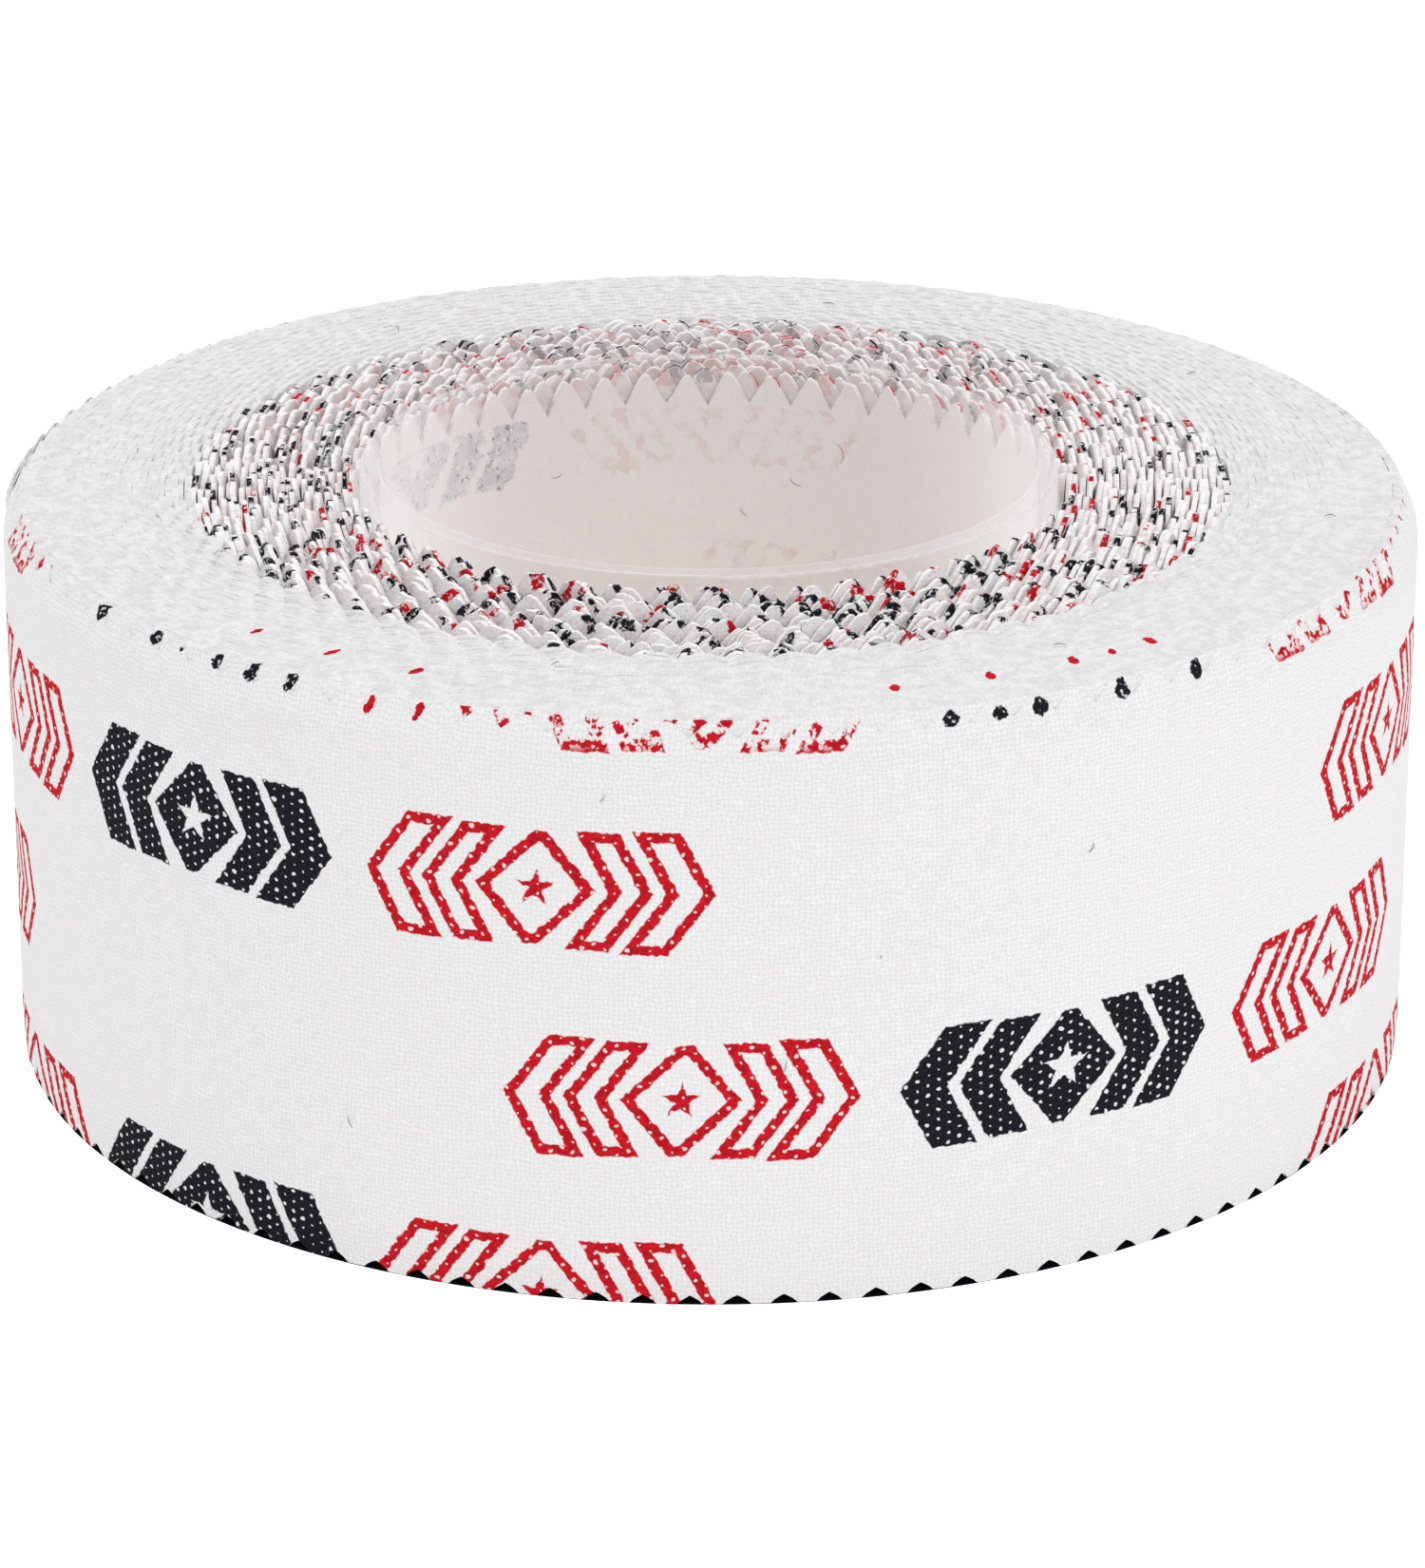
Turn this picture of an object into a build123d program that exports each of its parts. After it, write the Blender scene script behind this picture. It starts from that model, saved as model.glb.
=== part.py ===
from build123d import *
import math
import os

# Roll of pinked-edge cotton hand-wrap tape on a clear plastic core.
# Frame: +Z is the roll's axis, the origin is on that axis in the plane of the lower edge.
# The strip is cotton cloth with an adhesive coat on its inner face. It is wound as a
# two-centre spiral, so every half turn is a true cylinder and the turns never touch.
# The last stretch, the tail, is what a hand picks up and peels. It is cut into short links,
# because rigid bodies can't bend, and each link hinges on the one before it.

# ---- driving dimensions, in mm; angles in degrees, counter-clockwise from +X ----
TAPE_WIDTH = 38.1          # 1.5 in, tooth tip to tooth tip
CORE_OUTER_R = 23.0
CORE_WALL = 1.3
CORE_PROUD = 0.9           # core above the tape at the top; the two are flush below
CORE_EDGE_R = 0.25
PITCH = 0.455              # radial growth of one turn
FIRST_R = 23.17            # inner radius of the first half turn
ADHESIVE_T = 0.12
BOND_GAP = 0.01            # between the adhesive coat and its cloth
CLOTH_T = 0.26
TURNS = 51                 # full turns under the tail
TOOTH_PITCH = 2.88         # about nine teeth to the inch, along the tail's outer face
TOOTH_DEPTH = 2.1
LINKS = 6
TEETH_PER_LINK = 4
TAIL_START_DEG = 92.0      # the line where the tail leaves the roll
LINK_GAP = 0.05            # free length between neighbouring links
VALLEY_OVERRUN = 0.25      # how far a valley cutter passes the tape's edge, in tooth depths
CUTTER_DEPTH = 2.0         # radial length of a valley cutter
CUTTER_INSET = 1.0         # from the tail's inner face in to the cutter's start

# ---- derived dimensions ----
CORE_LENGTH = TAPE_WIDTH + CORE_PROUD
CENTRE = PITCH / 4         # the two arc centres sit at -CENTRE and +CENTRE on X
CLOTH_IN = ADHESIVE_T + BOND_GAP
CLOTH_OUT = CLOTH_IN + CLOTH_T
TAIL_R = FIRST_R + TURNS * PITCH        # inner radius of the last turn and the tail
TAIL_OUTER_R = TAIL_R + CLOTH_OUT
TOOTH_DEG = math.degrees(TOOTH_PITCH / TAIL_OUTER_R)
LINK_DEG = TOOTH_DEG * TEETH_PER_LINK

# layer: inner and outer offset from the strip's inner face
LAYERS = {
    "cloth": (CLOTH_IN, CLOTH_OUT),
    "adhesive": (0.0, ADHESIVE_T),
}


def half_gap_deg(radius):
    return math.degrees(LINK_GAP / 2 / radius)


def polar(centre_x, radius, deg):
    angle = math.radians(deg)
    return (centre_x + radius * math.cos(angle), radius * math.sin(angle), 0)


def arc(centre_x, radius, start, end):
    degs = (start, (start + end) / 2, end)
    return ThreePointArc(*[polar(centre_x, radius, deg) for deg in degs]).edge()


def radial_line(radius_from, radius_to, deg):
    """A radial line about the -X arc centre, where the strip starts and ends."""
    return Line(polar(-CENTRE, radius_from, deg), polar(-CENTRE, radius_to, deg)).edge()


def tape_width_solid(edges):
    return extrude(Face(Wire(edges)), amount=TAPE_WIDTH, dir=(0, 0, 1))


def core_tube():
    """Tube with softened outer edges; its bore is cut square."""
    base = (Align.CENTER, Align.CENTER, Align.MIN)
    tube = Cylinder(CORE_OUTER_R, CORE_LENGTH, align=base)
    tube = tube - Cylinder(CORE_OUTER_R - CORE_WALL, CORE_LENGTH, align=base)
    circles = tube.edges().filter_by(GeomType.CIRCLE)
    mid_wall_r = CORE_OUTER_R - CORE_WALL / 2
    return fillet([edge for edge in circles if edge.radius > mid_wall_r], CORE_EDGE_R)


def spiral(offset_in, offset_out):
    """One layer of the wound strip, up to the tail, as one solid."""
    end_deg = TAIL_START_DEG - half_gap_deg(TAIL_R)
    spans = []             # centre x, radius, start angle, end angle
    for half_turn in range(2 * TURNS):
        side = half_turn % 2
        centre_x = CENTRE if side else -CENTRE
        radius = FIRST_R + half_turn * PITCH / 2
        spans.append((centre_x, radius, 180 * side, 180 * side + 180))
    spans.append((-CENTRE, TAIL_R, 0, end_deg))
    inner = [arc(x, radius + offset_in, start, end) for x, radius, start, end in spans]
    outer = [arc(x, radius + offset_out, start, end) for x, radius, start, end in spans]
    first = radial_line(FIRST_R + offset_in, FIRST_R + offset_out, 0)
    last = radial_line(TAIL_R + offset_in, TAIL_R + offset_out, end_deg)
    return tape_width_solid(inner + [last] + outer + [first])


def valley_cutter(deg, edge_z, inward):
    """Triangular prism pointing into the tape from one edge; inward is +1 or -1 along Z."""
    angle = math.radians(deg)
    # x is the tangent and z the outward normal, so y is +Z
    plane = Plane(
        origin=polar(-CENTRE, TAIL_R - CUTTER_INSET, deg),
        x_dir=(-math.sin(angle), math.cos(angle), 0),
        z_dir=(math.cos(angle), math.sin(angle), 0),
    )
    half_base = TOOTH_PITCH / 2 * (1 + VALLEY_OVERRUN)
    base_z = edge_z - inward * TOOTH_DEPTH * VALLEY_OVERRUN
    corners = [(-half_base, base_z), (half_base, base_z), (0, edge_z + inward * TOOTH_DEPTH)]
    outline = Polyline([plane.from_local_coords((x, y, 0)) for x, y in corners], close=True)
    return extrude(Face(Wire(outline.edges())), amount=CUTTER_DEPTH, dir=tuple(plane.z_dir))


def tail_link(index, offset_in, offset_out):
    """One layer of one tail link, with its pinked edges."""
    link_start = TAIL_START_DEG + index * LINK_DEG
    gap = half_gap_deg(TAIL_OUTER_R)
    start, end = link_start + gap, link_start + LINK_DEG - gap
    inner_r, outer_r = TAIL_R + offset_in, TAIL_R + offset_out
    body = tape_width_solid([
        arc(-CENTRE, inner_r, start, end),
        radial_line(inner_r, outer_r, end),
        arc(-CENTRE, outer_r, start, end),
        radial_line(outer_r, inner_r, start),
    ])
    for k in range(TEETH_PER_LINK):
        valley_deg = link_start + (k + 0.5) * TOOTH_DEG
        for edge_z, inward in ((0.0, 1), (TAPE_WIDTH, -1)):
            body = body - valley_cutter(valley_deg, edge_z, inward)
    return body


def save(shape, name):
    shape.label = name
    export_step(shape, f"parts/{name}.step")


os.makedirs("parts", exist_ok=True)
save(core_tube(), "core_tube")
for layer, offsets in LAYERS.items():
    save(spiral(*offsets), f"wound_{layer}")
    for i in range(LINKS):
        save(tail_link(i, *offsets), f"tail_{layer}_{i + 1}")
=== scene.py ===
"""A roll of printed cotton tape with pinked (toothed) edges, wound on a clear core.

The roll stands on the floor with its axis on +Z, and its front faces -Y, towards the camera.
The strip winds outward anticlockwise seen from above, starting at +X, and its last stretch
is a short tail of hinged links. Places along the strip are counted in turns ("turn") or in
teeth ("tooth count"). Sizes are in mm and are turned into metres when meshes are made;
shader sizes are in mm where they use the strip's UV map and in metres elsewhere.
"""
import bpy
import math
import numpy as np
from collections import namedtuple
from types import SimpleNamespace
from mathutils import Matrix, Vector


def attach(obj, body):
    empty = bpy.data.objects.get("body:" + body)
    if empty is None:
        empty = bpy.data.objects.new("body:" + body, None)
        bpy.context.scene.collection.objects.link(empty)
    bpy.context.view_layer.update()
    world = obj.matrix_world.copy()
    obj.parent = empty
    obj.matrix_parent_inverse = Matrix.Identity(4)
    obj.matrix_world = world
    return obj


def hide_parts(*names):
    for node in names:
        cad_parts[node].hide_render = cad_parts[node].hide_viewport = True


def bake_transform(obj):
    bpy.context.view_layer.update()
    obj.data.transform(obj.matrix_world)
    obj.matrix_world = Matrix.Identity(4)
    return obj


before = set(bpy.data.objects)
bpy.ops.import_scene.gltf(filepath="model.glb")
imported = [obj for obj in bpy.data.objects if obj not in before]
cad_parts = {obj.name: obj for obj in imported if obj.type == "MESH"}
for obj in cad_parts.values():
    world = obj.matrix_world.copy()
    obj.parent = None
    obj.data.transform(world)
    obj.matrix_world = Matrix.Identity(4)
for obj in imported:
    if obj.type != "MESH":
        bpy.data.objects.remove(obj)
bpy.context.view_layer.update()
rng = np.random.RandomState(7)
MM = 0.001

# ---------------------------------------------------------------- driving dimensions
TAPE_WIDTH = 38.1
CORE_INNER_R = 21.7
FIRST_R = 23.17                 # inner face of the first turn
PITCH = 0.455                   # growth in radius per turn
TURNS = 51
CENTRE = PITCH / 4              # half turns are centred this far to either side of the axis
ADHESIVE_T = 0.12
CLOTH_IN, CLOTH_OUT = 0.13, 0.39
CLOTH_MID = (CLOTH_IN + CLOTH_OUT) / 2
OUTER_R = FIRST_R + TURNS * PITCH + CLOTH_OUT

LINKS = 6                       # hinged links of the tail
LINK_LENGTH = 11.52
LINK_DEG = math.degrees(LINK_LENGTH / OUTER_R)
TAIL_START = 92.0               # azimuth of the first hinge, degrees
TURN_TAIL = TURNS + TAIL_START / 360
TURN_BASE = TURN_TAIL - 9.0 / 360       # the wound pieces stop here, just before the hinge
TURN_END = TURN_TAIL + LINKS * LINK_DEG / 360
TURN_FRONT = 50.75              # the outermost turn where it faces -Y
SHELL_R = FIRST_R + TURN_FRONT * PITCH + CLOTH_OUT

TOOTH_DEPTH = 2.15
BOTTOM_DEPTH = 0.62             # notches of the wound lower edge
EDGE_BAND = TOOTH_DEPTH + 0.7   # from the tips to the plain body of the strip
BOTTOM, TOP = 0, 1

# ---------------------------------------------------------------- profiles, {turn: value}
DRIFT = {0: 1.9, 20: 0.3, 26: 0.0, 52: 0.0}             # extra teeth counted
WOBBLE = {0: 1.5, 22: 1.2, 30: 0.45, 48: 0.25, 52: 0.1}  # unevenness of the tooth spacing
TOP_TIP = {0: 38.0, 1.5: 38.05, 4: 38.02, 22: 38.0, 25: 38.02, 30: 38.06, 44: 38.06,
           48.5: 38.02, 49.5: 37.97, 50.25: 37.93, 50.5: 37.86, 51.0: 37.82, 51.25: 37.76,
           51.6: 37.76}
TOP_WANDER = {0: 0.30, 22: 0.24, 26: 0.06, 46: 0.03, 50: 0.0}
TOP_TILT = {0: 1.0, 2: 0.85, 14: 0.0}                    # front of the turn above its back
HIGHEST_TIP = 38.72
BOTTOM_TIP = {0: 0.32, 40: 0.28, 49: 0.15, 50: 0.0, 52: 0.0}
BOTTOM_WANDER = {0: 1, 48: 1, 50: 0}
# valleys below the tips: the teeth of the outer turns are pressed over one another
TOP_DEPTH = {0: 2.15, 1.1: 2.15, 1.6: 1.55, 23.3: 1.35, 24.7: 0.36, 28: 0.27, 33: 0.12,
             48.3: 0.05, 50.35: 0.12, 50.50: 0.90, 50.88: 0.90, 50.96: 0.35, 51.235: 0.35,
             51.30: 2.15, 52: 2.15}
SHALLOW_SIDES = {1.3: 0.0, 2.5: 1.0, 22.5: 1.0, 24.0: 0.0}   # shallower valleys at +X and -X
# radial shift of the tips: the outer teeth bow in over the shoulder
LEAN = {0: 0.10, 3: 0.02, 22: 0.0, 30: -0.25, 42: -0.50, 48: -0.80, 51.6: -0.95}
# the turn under the outermost one is pressed outward, so that the shoulder is smooth
PRESS = {49.36: 0.0, 49.50: 0.21, 50.22: 0.21, 50.32: 0.0}
# worn teeth thin out towards their tips
THIN = {48.5: 0.0, 49.5: 0.15, 51.2: 0.15, 51.3: 0.06}
# the frayed upper edge spreads into the gap behind it
FLARE = {0: 0.02, 20: 0.06, 25: 0.23, 49.36: 0.23, 49.50: 0.42, 50.22: 0.42, 50.32: 0.20,
         50.6: 0.10, 51.22: 0.06, 51.26: 0.0}
# the printed rows wander across the strip along its length
PRINT_SHIFT = {0: -7.6, 4: -7.35, 9: -7.0, 15: -6.7, 20: -6.25, 22.4: -5.9, 23.6: -4.6,
               27: -4.0, 40: -2.6, 46.5: -2.0, 49.0: -0.35, 50.0: 0.0, 52: 0.0}
LOOSE = {0: 1.0, 20: 0.9, 27: 0.5, 45: 0.35, 51.6: 0.25}
FREE_BOTTOM = {50.9: 0.0, 51.2: 1.0}                     # full teeth on the tail's lower edge
# how much single teeth differ in height, bluntness, skew, lean and sideways shift
TOP_JITTER = {0: 0.08, 1.4: 0.08, 1.6: 0.24, 23.4: 0.24, 24.8: 0.06, 32: 0.02, 52: 0.02}
TOP_BLUNT = {0: 0.03, 1.1: 0.03, 2.5: 0.08, 26: 0.10, 52: 0.06}
TOP_SKEW = {0: 0.04, 1.4: 0.04, 1.6: 0.20, 23: 0.20, 25: 0.0}
LEAN_JITTER = {0: 0.04, 1.5: 0.085, 3: 0.14, 23: 0.14, 26: 0.03, 52: 0.015}
SIDE_JITTER = {0: 0.05, 1.5: 0.26, 23: 0.26, 26: 0.08, 52: 0.03}
FRAY_UP = {0: 0.06, 22: 0.06, 25: 0.02, 49: 0.018, 50.5: 0.018}
FRAY_OUT = {0: 0.03, 20: 0.03, 25: 0.015, 49: 0.015, 50.5: 0.015}
# waves of the frayed edge: (size, waves per mm in radians, offset)
FRAY_UP_WAVES = [(0.5, 4.9, 1.3), (0.3, 8.3, 0.0), (0.4, 2.1, 0.4)]
FRAY_OUT_WAVES = [(0.5, 5.7, 0.3), (0.3, 9.1, 2.0), (0.4, 1.7, 0.0)]
# how far the sheets stop short of the tips
CLOTH_INSET = {0: 0.0}
GLUE_INSET = {0: 0.05, 20: 0.05, 25: 0.6, 48.4: 0.6, 49.4: 1.9, 51.1: 1.9, 51.22: 0.3}
TAIL_GLUE_INSET = {0: 0.05}


def at(place, profile):
    """Value of a profile at a place, straight between its stations."""
    return np.interp(place, list(profile), list(profile.values()))


def half_turn(turn):
    """Index of the half turn, and the inner radius of the strip there."""
    half = np.minimum(np.floor(2 * turn + 1e-9), 2 * TURNS).astype(int)
    return half, FIRST_R + half * PITCH / 2


def arc_length(turn):
    """Length along the middle of the cloth from the start of the strip."""
    half, radius = half_turn(turn)
    half_lengths = math.pi * (FIRST_R + CLOTH_MID + np.arange(2 * TURNS + 1) * PITCH / 2)
    before = np.concatenate([[0], np.cumsum(half_lengths)])
    return before[half] + (radius + CLOTH_MID) * (2 * math.pi * turn - math.pi * half)


# ---------------------------------------------------------------- teeth
TURN_GRID = np.linspace(0, 52, 52 * 240 + 1)


def random_waves(count, sizes, rates):
    total = np.zeros_like(TURN_GRID)
    for _ in range(count):
        total += rng.uniform(*sizes) * np.sin(TURN_GRID * rng.uniform(*rates)
                                              + rng.uniform(0, 6.28))
    return total


# nearly in step from turn to turn, with a slow drift that grows towards the core
spacing_waves = random_waves(7, (0.02, 0.05), (0.8, 4.4))
COUNT_GRID = (50.703 * TURN_GRID + TURN_GRID * TURN_GRID / 2 + at(TURN_GRID, DRIFT)
              + spacing_waves * at(TURN_GRID, WOBBLE))
N_TEETH = int(COUNT_GRID[-1]) + 4

# per edge and tooth
tooth_height, tooth_lean, tooth_side = (rng.normal(0, 1, (2, N_TEETH)).clip(-2, 2)
                                        for _ in range(3))
tooth_blunt = rng.uniform(0.0, 1.0, (2, N_TEETH))
# slow wander of each turn up and down
wander_grid = random_waves(9, (0.3, 1.0), (0.5, 7.0)) / 4.0

# chance of a scrap of print on a tooth: (azimuth, black, red)
SCRAP_CHANCE = [
    (0, 0.50, 0.24), (45, 0.56, 0.32), (90, 0.50, 0.40), (135, 0.60, 0.30), (165, 0.74, 0.14),
    (195, 0.70, 0.14), (215, 0.64, 0.26), (235, 0.56, 0.32), (255, 0.56, 0.18),
    (270, 0.58, 0.14), (290, 0.62, 0.26), (315, 0.66, 0.36), (335, 0.56, 0.24),
    (360, 0.50, 0.24)]
# factors on that chance by turn; SIDE_LOSS is taken off away from the front
BLACK_BY_TURN = {0: 1.25, 5: 1.25, 7: 0.80, 14: 0.80, 16: 0.60, 22.5: 0.55, 23.2: 0.85,
                 24.0: 0.85}
SIDE_LOSS = {0: 0.6, 5: 0.5, 7: 0.1}
RED_BY_TURN = {0: 1.1, 5: 1.1, 7: 0.62, 14: 0.62, 16: 0.40, 24: 0.40}


def between(values, low, high):
    return (values > low) & (values < high)


def scatter_marks():
    """One code per tooth for the scrap of print left on it.

    0 none; 1 and 2 black on one flank or the other, 3 black on the tip; 4 to 6 the same in red.
    10 is added in the loose inner turns; 20 marks bare teeth in the outer turns. From 10 up,
    the rest of the print stops short of the teeth.
    """
    turn = np.interp(np.arange(N_TEETH), COUNT_GRID, TURN_GRID)
    azimuth = (turn % 1.0) * 360
    pick, form, first_pick, thinning = (rng.uniform(0, 1, N_TEETH) for _ in range(4))
    stations, black_chance, red_chance = zip(*SCRAP_CHANCE)
    from_front = np.clip(np.abs((azimuth - 270 + 180) % 360 - 180) / 90, 0, 1)
    black_near = at(turn, BLACK_BY_TURN)
    black_near = black_near * (1 - from_front * at(turn, SIDE_LOSS))
    angle = np.radians(azimuth)
    clump = (1 + 0.55 * np.sin(angle * 5 + turn * 0.9)
             + 0.45 * np.sin(angle * 11 - turn * 2.3 + 1.0))
    black = np.interp(azimuth, stations, black_chance) * black_near * np.clip(clump, 0.35, 1.7)
    red = (np.interp(azimuth, stations, red_chance) * at(turn, RED_BY_TURN)
           * np.clip(2 - clump, 0.35, 1.7))
    black_form = 1 + (form > 0.55) + (form > 0.86)
    red_form = 3 + 1 + (form > 0.35) + (form > 0.75)
    mark = np.where(pick < black, black_form, np.where(pick > 1 - red, red_form, 0))
    # the front of the first turn is nearly all black, that of the second half red
    mark = np.where(between(turn, 0.685, 0.865), np.where(first_pick < 0.9, 1, 4), mark)
    second = np.where(first_pick < 0.5, 5, np.where(first_pick < 0.75, 1, 0))
    mark = np.where(between(turn, 1.67, 1.86), second, mark)
    mark = np.where(turn < 0.60, np.where(thinning < 0.25, mark, 0), mark)
    mark = np.where(turn < 24.3, mark + 10, 0)
    part = turn % 1.0
    bare = between(part, 0.49, 0.525) | between(part, 0.565, 0.697) | between(part, 0.785, 0.873)
    bare = bare & between(turn, 49.4, 50.9) | between(turn, 45.5, 49.46)
    return np.where(bare, 20, mark).astype(float)


tooth_mark = scatter_marks()


def top_tip(turn):
    """Height of the tooth tips at the upper edge."""
    z = at(turn, TOP_TIP) + np.interp(turn, TURN_GRID, wander_grid) * at(turn, TOP_WANDER)
    # the innermost turns stand higher at the front than at the back
    z = z + (0.05 - 0.58 * np.sin(2 * math.pi * turn)) * at(turn, TOP_TILT)
    return np.minimum(z, HIGHEST_TIP)


def bottom_tip(turn):
    wander = np.abs(np.interp(turn, TURN_GRID, wander_grid))
    return 0.02 + at(turn, BOTTOM_TIP) + 0.10 * wander * at(turn, BOTTOM_WANDER)


def top_depth(turn):
    sides = np.cos(2 * math.pi * turn) ** 2
    return at(turn, TOP_DEPTH) * (1 - 0.30 * sides * at(turn, SHALLOW_SIDES))


def tooth_shape(across, blunt):
    """Height over one tooth, across from -0.5 to 0.5: 1 at the tip, 0 in the valley."""
    away = np.abs(across)
    height = 1 - (away - blunt) / (0.5 - blunt)
    height = np.where(away < blunt, 1 - 0.10 * (away / blunt) ** 2, np.minimum(height, 0.97))
    return np.clip(height, 0.0, 1.0)


def notch_shape(across):
    """The lower edge stands on its blunt tips, with rounded notches between them."""
    return 1 - np.clip((np.abs(across) - 0.22) / 0.28, 0, 1) ** 0.62


def ripple(length, waves):
    return sum(size * np.sin(length * rate + offset) for size, rate, offset in waves)


# ---------------------------------------------------------------- strip meshes
# columns across one tooth, from -0.5 to 0.5
FINE = np.array([-0.5, -0.42, -0.3, -0.2, -0.12, -0.05, 0.05, 0.12, 0.2, 0.3, 0.42])
COARSE = np.array([-0.5, -0.3, -0.12, -0.03, 0.06, 0.15, 0.32])
SPARSE = np.array([-0.5, -0.12, 0.0, 0.12])
# rows of the bottom and the top edge band, 0 at the body and 1 at the edge
COARSE_ROWS = ([0, 0.6, 1.0], [0, 0.35, 0.68, 1.0])
FINE_ROWS = ([0, 0.3, 0.65, 1.0], [0, 0.15, 0.3, 0.45, 0.6, 0.75, 0.9, 1.0])
GLUE_ROWS = ([0, 1.0], [0, 0.55, 1.0])
BODY = [i / 12 for i in range(1, 12)]       # rows between the two edge bands

# offsets of the two faces, how far the edge wears thin (0 or 1), material and slot
Layer = namedtuple("Layer", "inner outer wear material slot")


def edge_band(edge, rows, turn, length, tooth, across, inset):
    """Height, radial shift, sideways shift, flare and wear of one edge's rows, body to tip."""
    loose = at(turn, LOOSE)
    lean_jitter = tooth_lean[edge][tooth] * at(turn, LEAN_JITTER)
    if edge == TOP:
        up = 1.0
        tip = top_tip(turn) - inset
        jitter = np.clip(tooth_height[TOP][tooth] * at(turn, TOP_JITTER), -0.55, 0.14)
        blunt = at(turn, TOP_BLUNT) + 0.09 * tooth_blunt[TOP][tooth] * loose
        skew = (tooth_side[TOP][tooth] * at(turn, TOP_SKEW)).clip(-0.4, 0.4)
        shape = tooth_shape(across + skew * (0.5 - 2 * across * across), blunt)
        edge_z = (tip + jitter - top_depth(turn) * (1 - shape)
                  + ripple(length, FRAY_UP_WAVES) * at(turn, FRAY_UP) - 0.04)
        lean = (at(turn, LEAN) + lean_jitter
                + ripple(length, FRAY_OUT_WAVES) * at(turn, FRAY_OUT))
    else:
        up = -1.0
        tip = bottom_tip(turn) + inset
        jitter = np.minimum(tooth_height[BOTTOM][tooth] * 0.10 * loose, 0.06)
        free = at(turn, FREE_BOTTOM)
        edge_z = (tip - jitter + BOTTOM_DEPTH * (1 - notch_shape(across)) * (1 - free)
                  + TOOTH_DEPTH * (1 - tooth_shape(across, 0.09)) * free)
        lean = -0.10 + lean_jitter
    base = tip - up * EDGE_BAND
    z = base[:, None] + (edge_z - base)[:, None] * np.array(rows)[None, :]
    reach = np.clip((z - base[:, None]) * up / EDGE_BAND, 0, 1.1)
    sideways = (tooth_side[edge][tooth] * at(turn, SIDE_JITTER))[:, None] * reach ** 2
    shoulder = np.clip((reach - 0.25) / 0.35, 0, 1)
    shoulder = edge * shoulder * shoulder * (3 - 2 * shoulder)
    radial = lean[:, None] * reach ** 2 + shoulder * at(turn, PRESS)[:, None]
    flare = edge * reach ** 2 * at(turn, FLARE)[:, None]
    wear = shoulder * at(turn, THIN)[:, None]
    return np.stack([z, radial, sideways, flare, wear])


def tooth_at(count):
    return np.clip(np.floor(count + 0.5).astype(int), 0, N_TEETH - 1)


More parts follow.
